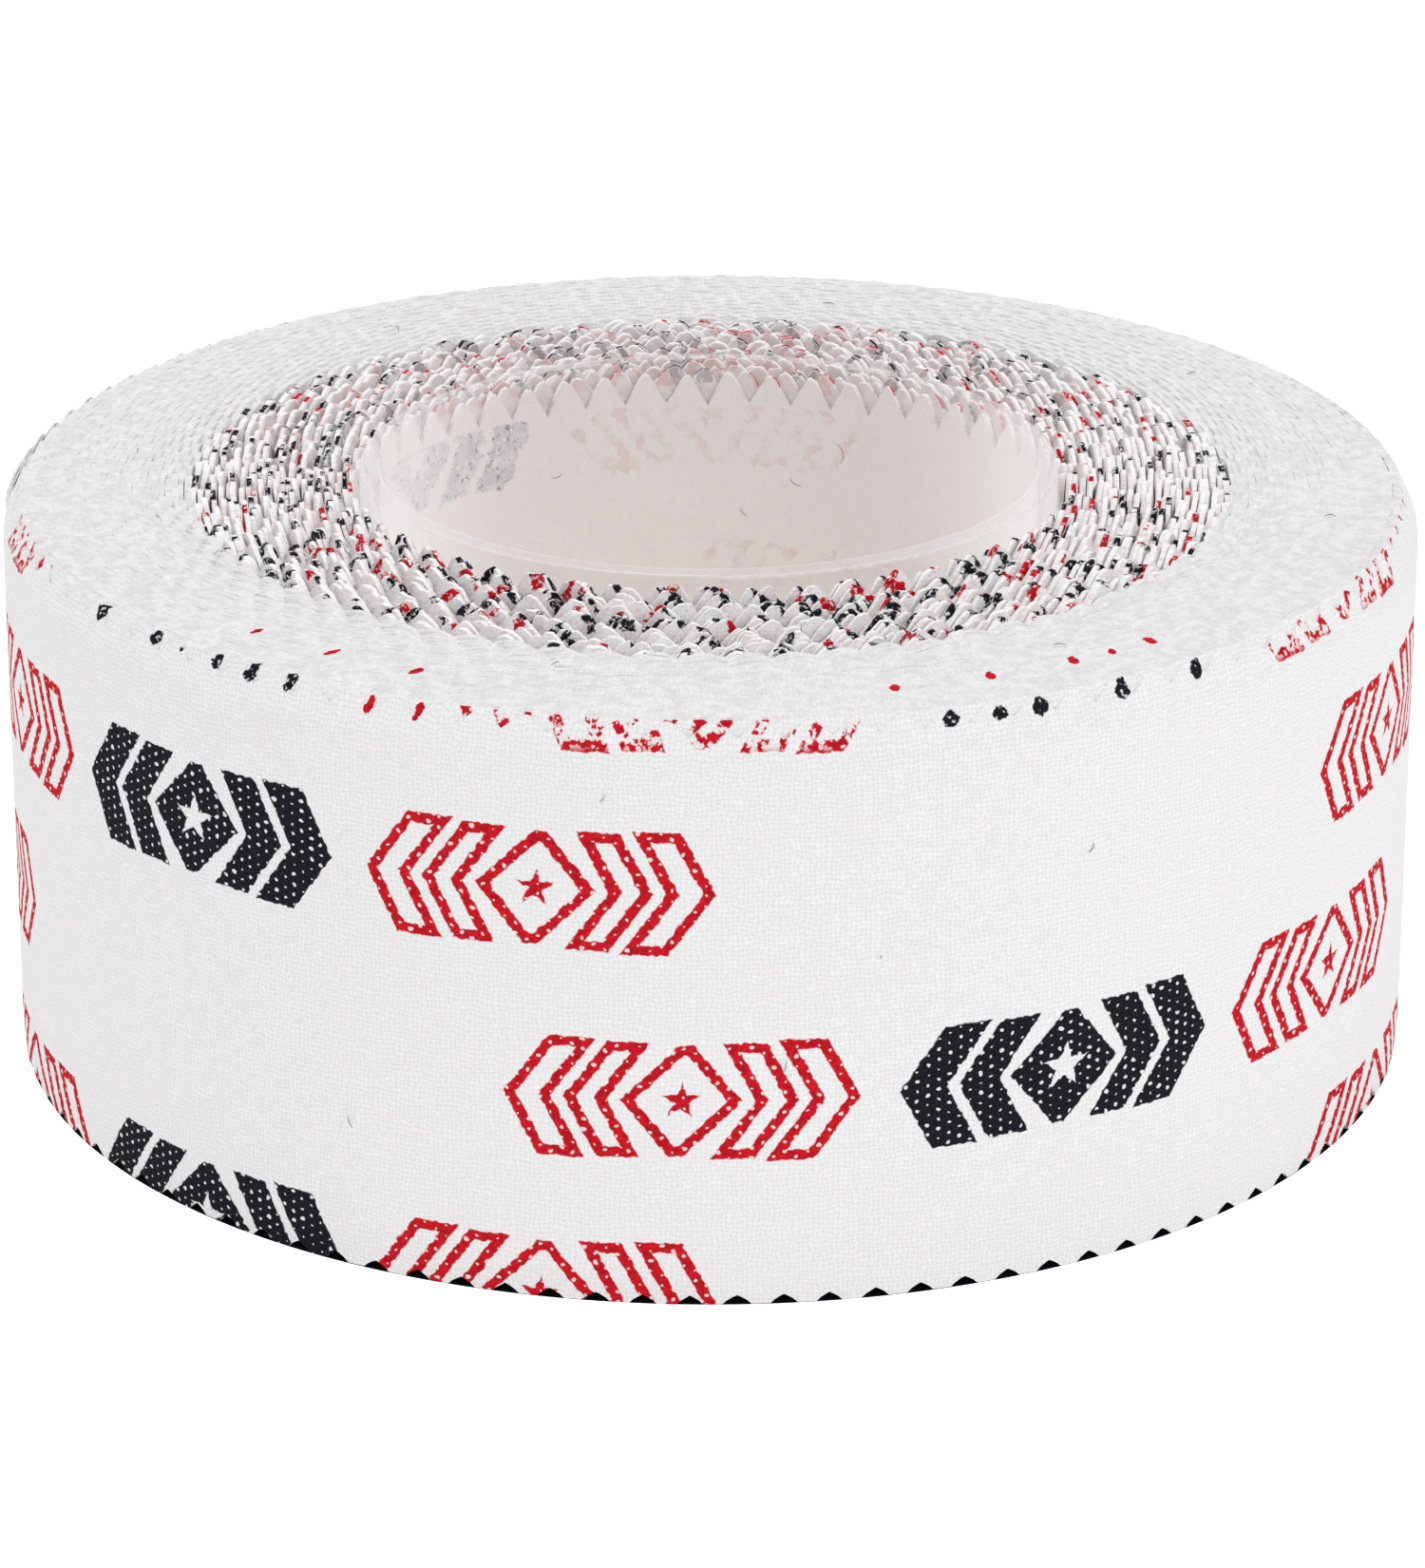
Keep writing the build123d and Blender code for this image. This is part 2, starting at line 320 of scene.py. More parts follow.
def strip(name, layer, start, end, columns, rows, body_rows=(), inset=CLOTH_INSET, flare=0.0):
    """A closed length of one layer, from turn to turn, with pinked edges."""
    first, last = (float(np.interp(turn, TURN_GRID, COUNT_GRID)) for turn in (start, end))
    count = (np.arange(math.floor(first) - 1, math.ceil(last) + 2)[:, None]
             + columns[None, :]).ravel()
    count = count[between(count, first + 0.02, last - 0.02)]
    count = np.concatenate([[first], count, [last]])
    turn = np.interp(count, COUNT_GRID, TURN_GRID)
    half, radius = half_turn(turn)
    centre_x = np.where(half % 2 == 0, -CENTRE, CENTRE)
    length = arc_length(turn)
    across = count - np.floor(count + 0.5)

    low, high = (edge_band(edge, rows[edge], turn, length, tooth_at(count), across,
                           at(turn, inset)) for edge in (BOTTOM, TOP))
    middle = np.zeros((5, len(turn), len(body_rows)))
    low_z, high_z = low[0][:, :1], high[0][:, :1]
    middle[0] = low_z + (high_z - low_z) * np.array(body_rows)[None, :]
    # rows run from the bottom tips up to the top tips
    z, radial, sideways, spread, wear = np.concatenate([low[:, :, ::-1], middle, high], axis=2)
    n_columns, n_rows = z.shape
    angle = (2 * math.pi * turn)[:, None] + sideways / (radius[:, None] + layer.outer)

    def face(offset):
        r = radius[:, None] + offset
        return np.stack([centre_x[:, None] + r * np.cos(angle), r * np.sin(angle), z],
                        axis=-1).reshape(-1, 3)

    points = np.concatenate([face(layer.outer + radial - layer.wear * wear),
                             face(layer.inner + radial - flare * spread)]) * MM

    grid = np.arange(n_columns - 1)[:, None] * n_rows + np.arange(n_rows - 1)[None, :]
    outer = np.stack([grid, grid + n_rows, grid + n_rows + 1, grid + 1], axis=-1).reshape(-1, 4)
    back = n_columns * n_rows               # index of the first point of the inner face
    inner = outer[:, ::-1] + back
    i = np.arange(n_columns - 1) * n_rows
    bottom = np.stack([i, i + back, i + n_rows + back, i + n_rows], axis=-1)
    i = i + n_rows - 1
    top = np.stack([i, i + n_rows, i + n_rows + back, i + back], axis=-1)
    i = np.arange(n_rows - 1)
    start_cap = np.stack([i, i + 1, i + 1 + back, i + back], axis=-1)
    i = i + (n_columns - 1) * n_rows
    end_cap = np.stack([i, i + back, i + 1 + back, i + 1], axis=-1)
    quads = np.concatenate([outer, inner, bottom, top, start_cap, end_cap])

    # "strip": mm along and across; V is raised by 1000 on the back and, in the outer turns,
    # by 2000 on the cut edge
    along_across = np.stack([length[:, None] + sideways,
                             z + at(turn, PRINT_SHIFT)[:, None]], axis=-1).reshape(-1, 2)
    cut = (turn[:-1] > 23.5) * 2000
    side = np.concatenate([np.zeros(len(outer)), np.full(len(inner), 1000), cut, cut,
                           np.zeros(2 * (n_rows - 1))]).astype(np.float32)
    # "tooth": tooth count and mm above the tips; V is raised by 100 times the tooth's mark
    tooth_map = np.stack([np.repeat(count, n_rows), (z - top_tip(turn)[:, None]).ravel()],
                         axis=-1)
    mark = tooth_mark[tooth_at((count[1:] + count[:-1]) / 2)]
    face_mark = np.repeat(mark, n_rows - 1)
    marks = np.concatenate([face_mark, face_mark, mark, mark, np.full(n_rows - 1, mark[0]),
                            np.full(n_rows - 1, mark[-1])])
    ob = quad_mesh(name, points, quads, {"strip": (along_across, side),
                                         "tooth": (tooth_map, 100.0 * marks)})
    return dress(ob, layer.material)


def quad_mesh(name, points, quads, uv_maps=None):
    """A smooth mesh; uv_maps is {name: (points of one face side, V added per quad)}."""
    mesh = bpy.data.meshes.new(name)
    mesh.vertices.add(len(points))
    mesh.vertices.foreach_set("co", points.astype(np.float32).ravel())
    mesh.loops.add(quads.size)
    mesh.loops.foreach_set("vertex_index", quads.astype(np.int32).ravel())
    mesh.polygons.add(len(quads))
    mesh.polygons.foreach_set("loop_start", (np.arange(len(quads)) * 4).astype(np.int32))
    mesh.polygons.foreach_set("loop_total", np.full(len(quads), 4, np.int32))
    for map_name, (flat, added) in (uv_maps or {}).items():
        uv_layer = mesh.uv_layers.new(name=map_name)
        corners = np.concatenate([flat, flat]).astype(np.float32)[quads.ravel()]
        corners[:, 1] += np.repeat(added, 4)
        uv_layer.data.foreach_set("uv", corners.ravel())
    mesh.update(calc_edges=True)
    mesh.validate()
    mesh.polygons.foreach_set("use_smooth", np.ones(len(mesh.polygons), bool))
    mesh.set_sharp_from_angle(angle=math.radians(42))
    ob = bpy.data.objects.new(name, mesh)
    bpy.context.scene.collection.objects.link(ob)
    return ob


def dress(ob, material):
    ob.data.materials.append(material)
    return ob


# ---------------------------------------------------------------- shader graphs
def operator(operation, swapped=False):
    """A method that adds a math node on a value and its operands."""
    def method(self, *others):
        operands = (*others, self) if swapped else (self, *others)
        return self.graph.add("Math", dict(enumerate(operands)), operation=operation)
    return method


class Value:
    """A node's output; Python arithmetic on it adds math nodes."""
    __add__, __radd__ = operator("ADD"), operator("ADD", swapped=True)
    __sub__, __rsub__ = operator("SUBTRACT"), operator("SUBTRACT", swapped=True)
    __mul__ = operator("MULTIPLY")
    __truediv__ = operator("DIVIDE")
    __mod__ = operator("FLOORED_MODULO")
    __pow__ = operator("POWER")
    __abs__ = operator("ABSOLUTE")
    __gt__ = operator("GREATER_THAN")
    __lt__ = operator("LESS_THAN")
    max, min = operator("MAXIMUM"), operator("MINIMUM")
    floor, round, fract = operator("FLOOR"), operator("ROUND"), operator("FRACT")
    sin, cos, sqrt = operator("SINE"), operator("COSINE"), operator("SQRT")
    arctan2 = operator("ARCTAN2")
    compare = operator("COMPARE")
    multiply_add = operator("MULTIPLY_ADD")

    def __init__(self, graph, socket):
        self.graph = graph
        self.socket = socket

    def equals(self, number):
        """1 where this whole number is the given one."""
        return self.compare(number, 0.1)

    def clamped(self):
        self.socket.node.use_clamp = True
        return self

    def fade(self, zero, one):
        """Smoothly from 0 at one number to 1 at the other, whichever is higher."""
        rising = one >= zero
        return self.graph.add("MapRange", {
            "Value": self, "From Min": min(zero, one), "From Max": max(zero, one),
            "To Min": 0.0 if rising else 1.0, "To Max": 1.0 if rising else 0.0,
        }, interpolation_type="SMOOTHSTEP")

    def towards(self, colour, amount):
        return self.graph.mix(amount, self, colour)

    def noise(self, scale, detail=2.0, rough=0.5):
        return self.graph.add("TexNoise", {"Vector": self, "Scale": scale, "Detail": detail,
                                           "Roughness": rough})

    def cell(self):
        """A random number for each whole vector."""
        return self.graph.add("TexWhiteNoise", {"Vector": self}, noise_dimensions="3D")

    def split(self):
        node = self.graph.node("SeparateXYZ", {0: self})
        return [Value(self.graph, socket) for socket in node.outputs]


def distance(x, y):
    return (x * x + y * y).sqrt()


class Graph:
    def __init__(self, tree):
        self.tree = tree

    def feed(self, node, inputs):
        """Links values and sets numbers and colours."""
        for key, value in inputs.items():
            if isinstance(value, Value):
                self.tree.links.new(value.socket, node.inputs[key])
            else:
                is_colour = isinstance(value, tuple)
                node.inputs[key].default_value = (*value, 1.0) if is_colour else value

    def node(self, kind, inputs=None, **settings):
        node = self.tree.nodes.new("ShaderNode" + kind)
        for key, setting in settings.items():
            setattr(node, key, setting)
        self.feed(node, inputs or {})
        return node

    def add(self, kind, inputs=None, output=0, **settings):
        return Value(self, self.node(kind, inputs, **settings).outputs[output])

    def mix(self, amount, low, high):
        return self.add("Mix", {0: amount, 6: low, 7: high}, output=2, data_type="RGBA")

    def vector(self, x, y):
        return self.add("CombineXYZ", {0: x, 1: y, 2: 0.0})

    def position(self):
        return self.add("TexCoord", output="Object")

    def camera_ray(self):
        return self.add("LightPath", output="Is Camera Ray")

    def bump(self, height, distance, strength):
        return self.add("Bump", {"Height": height, "Distance": distance, "Strength": strength})


class Material(Graph):
    def __init__(self, name):
        self.material = bpy.data.materials.new(name)
        self.material.use_nodes = True
        super().__init__(self.material.node_tree)
        self.tree.nodes.clear()
        self.output = self.node("OutputMaterial")

    def finish(self, surface):
        self.feed(self.output, {"Surface": surface})
        return self.material

    def finish_principled(self, inputs):
        return self.finish(self.add("BsdfPrincipled", inputs))

    def strip_map(self):
        """Mm along and across the strip, and whether this is its back or its cut edge."""
        along, across, _ = self.add("UVMap", uv_map="strip").split()
        cut = across > 1500.0
        back = (across > 500.0) - cut
        return along, across - back * 1000.0 - cut * 2000.0, back, cut


# ---------------------------------------------------------------- the print
MARK_SPACING = 24.3
# the middle mark of a group lies just short of the front of the outermost turn
FRONT_MARK = float(arc_length(TURN_FRONT)) - 1.8
_span = FRONT_MARK - float(arc_length(0.247))
GROUP = _span / (round(_span / 115.3 - 0.5) + 0.5)   # one group of three marks, about 115.3 mm
ROW_PITCH, ROW_0 = 13.48, 13.65     # rows of marks; ROW_0 is the middle of the row at the front
HOLE_PITCH_U, HOLE_PITCH_V = 0.68, 0.66
INK_EDGE = 0.05                     # softness of the printed outlines
ARROW_SLOPE = 0.62
STAR_R, STAR_INNER_R = 1.62, 0.64
THREAD_PITCH = 0.31


def ink(shader, along, across):
    """Red and black masks of the motif: chevrons either side of a diamond with a star."""
    shift_u = (shader.vector(along, across).noise(scale=1.9, detail=1.0) - 0.5) * 0.34
    shift_v = (shader.vector(across, along).noise(scale=1.9, detail=1.0) - 0.5) * 0.34
    along, across = along + shift_u, across + shift_v
    row = ((across - ROW_0) / ROW_PITCH).round()
    top_row = row.equals(2.0)
    y = across - ROW_0 - row * ROW_PITCH + top_row * 0.6
    odd_row = row % 2.0
    group_start = FRONT_MARK - MARK_SPACING / 2
    place = along - group_start - odd_row * (-GROUP / 2)
    place = (place - top_row * 1.7) % GROUP
    mark = (place / MARK_SPACING).floor()
    x = place - (mark + 0.5) * MARK_SPACING
    x = x + y * -0.10                       # a slight slant
    printed = mark < 2.5
    is_black = mark.equals(1.0)             # the middle mark of the three
    side_x, side_y = abs(x), abs(y)

    def arrow(reach, half_width, half_height):
        band = abs(side_x + side_y * ARROW_SLOPE - reach) - half_width
        band = band / math.sqrt(1 + ARROW_SLOPE * ARROW_SLOPE)
        return band.max(side_y - half_height)

    outer_arrow = arrow(reach=9.45, half_width=1.5, half_height=4.0)
    inner_arrow = arrow(reach=5.85, half_width=1.35, half_height=3.85)
    diamond = (side_x + side_y * 0.9 - 3.75) / 1.345    # slope, reach, scale to mm
    diamond = diamond.max(side_y - 3.7)                 # cut off at its half height
    body = outer_arrow.min(inner_arrow).min(diamond)

    # five-point star in the middle
    radius = distance(x, y)
    sector = 2 * math.pi / 5
    angle = abs((x.arctan2(y) + sector / 2) % sector - sector / 2)
    normal_x = STAR_INNER_R * math.sin(sector / 2)
    normal_y = STAR_R - STAR_INNER_R * math.cos(sector / 2)
    size = math.hypot(normal_x, normal_y)
    star = radius * angle.cos() * (normal_x / size) + radius * angle.sin() * (normal_y / size)
    star = star - normal_x * STAR_R / size

    # the ink sits on the raised threads: cloth shows through in small dots where they cross
    cell_u, cell_v = along / HOLE_PITCH_U, across / HOLE_PITCH_V
    column = cell_u.floor()
    cell_v = cell_v + column % 2.0 * 0.5
    off_u, off_v = cell_u.fract() - 0.5, cell_v.fract() - 0.5
    from_middle = (off_u * off_u + off_v * off_v * 1.25).sqrt()
    hole_radius = shader.vector(column, cell_v.floor()).cell() ** 1.3 * 0.15 + 0.075
    hole = (from_middle - hole_radius).fade(zero=0.05, one=-0.03)

    inside = body.fade(zero=INK_EDGE, one=-INK_EDGE)
    in_star = star.fade(zero=INK_EDGE, one=-INK_EDGE)
    black = inside * (1.0 - in_star) * is_black * printed
    # red marks are outlines, with a filled star
    outline = (abs(body + 0.35) - 0.335).fade(zero=INK_EDGE, one=-INK_EDGE)
    outline = outline.max((star + 0.12).fade(zero=INK_EDGE, one=-INK_EDGE))
    red = outline * (1.0 - is_black) * printed
    return red * (1.0 - hole * 0.8), black * (1.0 - hole * 0.93)


def weave(shader, along, across):
    """Height of a plain weave, 0 to 1, with uneven threads."""
    shift_u = (shader.vector(along, across).noise(scale=0.9, detail=3.0, rough=0.6) - 0.5) * 0.9
    shift_v = (shader.vector(across, along).noise(scale=0.8, detail=3.0, rough=0.6) - 0.5) * 0.9
    wave_u = ((along + shift_u) * (math.pi / THREAD_PITCH)).sin()
    wave_v = ((across + shift_v) * (math.pi / THREAD_PITCH)).sin()
    over = wave_u * wave_v > 0.0
    warp = abs(wave_v) * (over * 0.55 + 0.45)
    weft = abs(wave_u) * (1.0 - over * 0.55)
    return warp.max(weft)


def scraps(shader, along, across):
    """Scraps of print on single teeth.

    black, red: masks. keep: how much of the other print is left. height: mm above the tips.
    bare, in_shell: the tooth's mark is 10 or more, 20 or more.
    """
    teeth, coded, _ = shader.add("UVMap", uv_map="tooth").split()
    code = (coded / 100.0).round()
    height = coded - code * 100.0
    count = teeth + 0.5
    offset = count.fract() - 0.5            # across the tooth, -0.5 to 0.5
    random_width = shader.vector(count.floor(), 3.0).cell()
    random_low = shader.vector(count.floor(), 7.0).cell()
    bare = code > 9.5
    in_shell = code > 19.5
    kind = code - bare * 10.0 - in_shell * 10.0
    marked = kind > 0.5
    is_red = kind > 3.5
    form = kind - is_red * 3.0
    one_flank, other_flank, tip = (form.equals(number) for number in (1.0, 2.0, 3.0))
    rough = shader.vector(along, across).noise(scale=2.2, detail=3.0, rough=0.6) - 0.5
    rough_side = shader.vector(across, along).noise(scale=1.6, detail=2.0, rough=0.6) - 0.5
    # the scrap follows the flank down, wider on tips, and ends raggedly
    lean = (one_flank - other_flank) * (0.07 - height * 0.17)
    from_flank = abs(offset - lean + rough_side * 0.16)
    width = random_width * 0.10 + (0.055 + tip * 0.05) + rough * 0.26
    low_end = rough * 0.5 - 0.75 - random_low * 0.8
    body = ((from_flank - width).fade(zero=0.02, one=-0.02)
            * (height - low_end).fade(zero=-0.05, one=0.05))
    broken = shader.position().noise(scale=2700.0, detail=3.0, rough=0.65)
    body = body * marked * (0.12 + broken.fade(zero=0.38, one=0.47) * 0.88)
    return SimpleNamespace(
        black=body * (1.0 - is_red), red=body * is_red, height=height, bare=bare,
        in_shell=in_shell, keep=1.0 - bare * height.fade(zero=-2.35, one=-2.25))


BLACK, RED = 0, 1
# single blots on the shoulder and the outer turns:
# (azimuth, radius and height of the middle, half width, half length, colour)
BLOTS = [
    (214.0, 45.78, 37.85, 0.52, 0.80, BLACK), (221.6, 45.78, 37.85, 0.50, 0.78, BLACK),
    (224.9, 45.78, 37.85, 0.20, 0.50, BLACK), (228.8, 45.80, 37.80, 0.44, 0.70, BLACK),
    (232.4, 45.82, 37.75, 0.50, 0.85, BLACK), (236.2, 45.82, 37.75, 0.48, 0.75, BLACK),
    (243.5, 45.95, 37.40, 0.30, 0.70, RED), (247.6, 45.95, 37.38, 0.34, 0.68, RED),
    (288.3, 46.00, 37.35, 0.55, 0.62, BLACK), (292.3, 46.00, 37.35, 0.50, 0.55, BLACK),
    (295.6, 46.00, 37.35, 0.55, 0.68, BLACK), (302.9, 46.00, 37.38, 0.54, 0.70, BLACK),
    (310.2, 46.00, 37.38, 0.54, 0.68, BLACK), (227.5, 41.1, 38.0, 0.26, 0.46, RED),
    (236.0, 41.0, 38.0, 0.28, 0.62, RED), (244.7, 41.3, 38.0, 0.30, 0.58, RED),
    (285.5, 41.7, 38.0, 0.36, 0.62, RED), (294.0, 41.7, 38.0, 0.34, 0.58, RED),
    (302.0, 41.7, 38.0, 0.36, 0.66, RED), (306.0, 41.8, 38.0, 0.26, 0.50, RED),
    (310.2, 41.8, 38.0, 0.36, 0.62, RED)]


def blots(shader):
    """Black and red masks of the blots at fixed places on the wound roll."""
    x, y, z = (part * 1000.0 for part in shader.position().split())
    rough = (shader.position().noise(scale=1700.0, detail=3.0, rough=0.65) - 0.5) * 2.4
    knots = shader.position().noise(scale=3300.0, detail=1.0).fade(zero=0.60, one=0.66)
    nearest = {}
    for azimuth, radius, height, half_width, half_length, colour in BLOTS:
        cos, sin = math.cos(math.radians(azimuth)), math.sin(math.radians(azimuth))
        outward = x * cos + y * sin - radius
        sideways = y * cos - x * sin + outward * 0.25
        away = ((sideways / half_width) ** 2.0 + (outward / half_length) ** 2.0
                + ((z - height) / half_length) ** 2.0)
        nearest[colour] = nearest[colour].min(away) if colour in nearest else away
    black, red = ((nearest[c] + rough).fade(zero=1.12, one=0.88) for c in (BLACK, RED))
    return black * (1.0 - knots * 0.7), red


# ---------------------------------------------------------------- materials
def cotton(name):
    shader = Material(name)
    along, across, back, cut = shader.strip_map()

    def cloth_noise(**settings):
        return shader.vector(along, across).noise(**settings)

    def turned_noise(**settings):
        return shader.vector(across, along).noise(**settings)

    red, black = ink(shader, along, across)
    thread = weave(shader, along, across)
    fuzz = cloth_noise(scale=5.5, detail=3.0, rough=0.65)
    scrap = scraps(shader, along, across)
    height = scrap.height
    loose = (scrap.bare - scrap.in_shell) * height.fade(zero=-3.4, one=-2.6)

    # the print is weaker on the back, on the cut edge and where the teeth are rubbed
    strength = 1.0 - back * 0.8 - cut * (0.78 + fuzz.fade(zero=0.45, one=0.55) * 0.2)
    rubbed = (height.fade(zero=-1.9, one=-1.3)
              * turned_noise(scale=1.5, detail=2.0, rough=0.6).fade(zero=0.53, one=0.46))
    strength = strength * scrap.keep * (1.0 - rubbed * 0.95)
    scrap_strength = 1.0 - back * 0.97
    blot_black, blot_red = blots(shader)
    red = (red * strength).max(scrap.red * scrap_strength).max(blot_red)
    black = (black * strength).max(scrap.black * scrap_strength).max(blot_black)

    # white cloth, darker between the threads, with grey and pinkish clouds and slubs
    tone = (thread * 0.75 + fuzz * 0.35).clamped()
    base = shader.mix(tone, low=(0.75, 0.742, 0.75), high=(0.985, 0.98, 0.982))
    clouds = cloth_noise(scale=1.3, detail=3.0, rough=0.6).fade(zero=0.40, one=0.70)
    base = base.towards((0.86, 0.845, 0.85), amount=clouds * 0.30)
    mottle = cloth_noise(scale=0.22, detail=3.0, rough=0.55).fade(zero=0.42, one=0.68)
    base = base.towards((0.90, 0.865, 0.87), amount=mottle * 0.22)
    slub = shader.vector(along * 0.35, across * 3.2).noise(scale=1.0).fade(zero=0.60, one=0.80)
    base = base.towards((0.84, 0.835, 0.84), amount=slub * 0.25)
    # the frayed cut edge: grey fibres, over a flat painted shade that darkens every cut face of
    # the outer turns
    fibre = shader.position().noise(scale=1150.0, detail=3.0, rough=0.7)
    base = base.towards((0.74, 0.735, 0.74),
                        amount=cut * (0.20 + fibre.fade(zero=0.42, one=0.62) * 0.55))
    # loose inner turns: painted light whitens the tips and painted shade darkens the valleys
    # below them; red and blue-grey flecks, pink stains
    base = base.towards((1.0, 1.0, 1.0), amount=loose * (height.fade(zero=-1.1, one=-0.4) * 0.85))
    base = base.towards((0.36, 0.34, 0.35),
                        amount=loose * (height.fade(zero=-1.0, one=-1.6) * 0.42))
    fleck = shader.position().noise(scale=1500.0, detail=3.0, rough=0.7)
    base = base.towards((0.84, 0.50, 0.54), amount=loose * fleck.fade(zero=0.59, one=0.66) * 0.42)
    fleck = turned_noise(scale=3.3, detail=3.0, rough=0.7)
    base = base.towards((0.36, 0.37, 0.44), amount=loose * fleck.fade(zero=0.60, one=0.67) * 0.45)
    stain = (turned_noise(scale=0.5, detail=3.0, rough=0.6).fade(zero=0.52, one=0.68)
             * height.fade(zero=-2.2, one=-1.6))
    base = base.towards((0.93, 0.72, 0.74), amount=stain * loose * 0.35)

    coverage = (0.93 + fuzz * 0.14).clamped()
    red_ink = shader.mix(cloth_noise(scale=1.6).fade(zero=0.40, one=0.62),
                         low=(0.66, 0.006, 0.016), high=(0.50, 0.004, 0.012))
    colour = base.towards(red_ink, amount=red * coverage)
    black_ink = shader.mix(fuzz.fade(zero=0.45, one=0.70),
                           low=(0.006, 0.006, 0.010), high=(0.016, 0.016, 0.030))
    colour = colour.towards(black_ink, amount=black * coverage)
    relief = thread * 0.8 + fuzz * 0.5 + cut * fibre * 1.6
    return shader.finish_principled({
        "Base Color": colour, "Roughness": 0.92, "Specular IOR Level": 0.12,
        "Normal": shader.bump(relief, distance=0.00007, strength=0.6)})


def adhesive(name):
    """The coat on the back of the cloth: pale, slightly pink, the print showing faintly."""
    shader = Material(name)
    along, across, _, _ = shader.strip_map()
    flat = shader.vector(along, across)
    blurred_u = along + (flat.noise(scale=0.9, detail=3.0, rough=0.7) - 0.5) * 1.9
    turned = shader.vector(across, along)
    blurred_v = across + (turned.noise(scale=0.9, detail=3.0, rough=0.7) - 0.5) * 1.9
    red, black = ink(shader, blurred_u, blurred_v)
    scrap = scraps(shader, along, across)
    red, black = red * scrap.keep, black * scrap.keep
    thread = weave(shader, along, across)
    grain = flat.noise(scale=3.0, detail=4.0, rough=0.6)
    speck = shader.vector(across, along).noise(scale=2.1, detail=2.0, rough=0.6)
    patch = flat.noise(scale=0.3)
    blotch = shader.vector(along, across).noise(scale=0.55, detail=3.0, rough=0.6)
    x, y, z = shader.position().split()
    # the upper teeth of all but the innermost turn
    tooth = z.fade(zero=0.0356, one=0.0362) * distance(x, y).fade(zero=0.02335, one=0.0236)

    base = shader.mix(grain * 0.5 + patch * 0.4, low=(0.85, 0.812, 0.80),
                      high=(0.94, 0.915, 0.908))
    base = base.towards((0.95, 0.94, 0.935), amount=thread * 0.15)
    fine = shader.position().noise(scale=3400.0, detail=2.0, rough=0.6)
    base = base.towards((0.76, 0.73, 0.722), amount=fine.fade(zero=0.42, one=0.62) * 0.22)
    base = base.towards((0.70, 0.60, 0.60),
                        amount=tooth * (0.25 + blotch.fade(zero=0.42, one=0.60) * 0.4))
    # print showing through: faint red in the upper half, blue-grey with dark specks for black
    upper = z.fade(zero=0.020, one=0.025)
    colour = base.towards((0.70, 0.45, 0.46),
                          amount=red * upper * (blotch.fade(zero=0.38, one=0.64) * 0.42))
    colour = colour.towards((0.42, 0.47, 0.56),
                            amount=black * (0.32 + blotch.fade(zero=0.35, one=0.65) * 0.36))
    colour = colour.towards((0.05, 0.06, 0.10),
                            amount=black * (speck.fade(zero=0.57, one=0.65) * 0.75))
    # stronger print on the teeth
    colour = colour.towards((0.50, 0.03, 0.05),
                            amount=tooth * red * (speck.fade(zero=0.44, one=0.56) * 0.75))
    colour = colour.towards((0.012, 0.013, 0.02),
                            amount=tooth * black * (speck.fade(zero=0.38, one=0.50) * 0.95))
    colour = colour.towards((0.62, 0.16, 0.19), amount=tooth * scrap.red * 0.35)
    colour = colour.towards((0.02, 0.022, 0.03), amount=tooth * scrap.black * 0.45)
    return shader.finish_principled({
        "Base Color": colour, "Roughness": 0.6, "Specular IOR Level": 0.25,
        "Normal": shader.bump(thread * 0.5 + grain, distance=0.00005, strength=0.5)})


def clear_core(name):
    """Clear tube: see-through walls, slightly hazy, with draw lines and a milkier cut rim."""
    shader = Material(name)
    position = shader.position()
    x, y, z = position.split()
    geometry = shader.node("NewGeometry")
    _, _, normal_z = Value(shader, geometry.outputs["Normal"]).split()
    front = 1.0 - Value(shader, geometry.outputs["Backfacing"])
    rim = abs(normal_z).fade(zero=0.25, one=0.75)
    radius = distance(x, y)
    # the inner and outer borders of the rim
    lip = radius.fade(zero=0.02188, one=0.02178).max(radius.fade(zero=0.02274, one=0.02284))
    lines = shader.vector(y.arctan2(x) * 34.0, z * 30.0).noise(scale=3.0, detail=3.0, rough=0.6)
    haze = position.noise(scale=210.0, detail=3.0, rough=0.6)
    normal = shader.bump(lines + haze * 0.4, distance=0.00003, strength=0.3)
    clear = shader.add("BsdfTransparent", {0: (0.985, 0.98, 0.977)})
    gloss = shader.add("BsdfGlossy", {"Roughness": 0.12, "Normal": normal})
    milk = shader.add("BsdfDiffuse", {0: (0.93, 0.915, 0.91)})
    fresnel = shader.add("Fresnel", {"IOR": 1.40, "Normal": normal})
    seen = shader.camera_ray()
    fog = 0.03 + haze * 0.07 + rim * (0.05 + lip * 0.28)
    wall = shader.add("MixShader", {0: fog * seen, 1: clear, 2: milk})
    wall = shader.add("MixShader", {0: fresnel * 0.7 * seen * front, 1: wall, 2: gloss})
    # painted light: an emission, seen by the camera only, brightens the walls where they are seen
    # at a slant, standing in for light carried along the wall
    slant = shader.add("LayerWeight", {"Blend": 0.5}, output="Facing")
    glow = shader.add("Emission", {0: (0.95, 0.93, 0.925)})
    glowing = slant.fade(zero=0.12, one=0.80) * (0.40 - rim * 0.30) * seen
    return shader.finish(shader.add("MixShader", {0: glowing, 1: wall, 2: glow}))


def lint(name):
    """Stray dark cotton fibres."""
    shader = Material(name)
    colour = shader.mix(shader.position().noise(scale=900.0),
                        low=(0.05, 0.05, 0.07), high=(0.20, 0.18, 0.18))
    return shader.finish_principled({"Base Color": colour, "Roughness": 0.9})


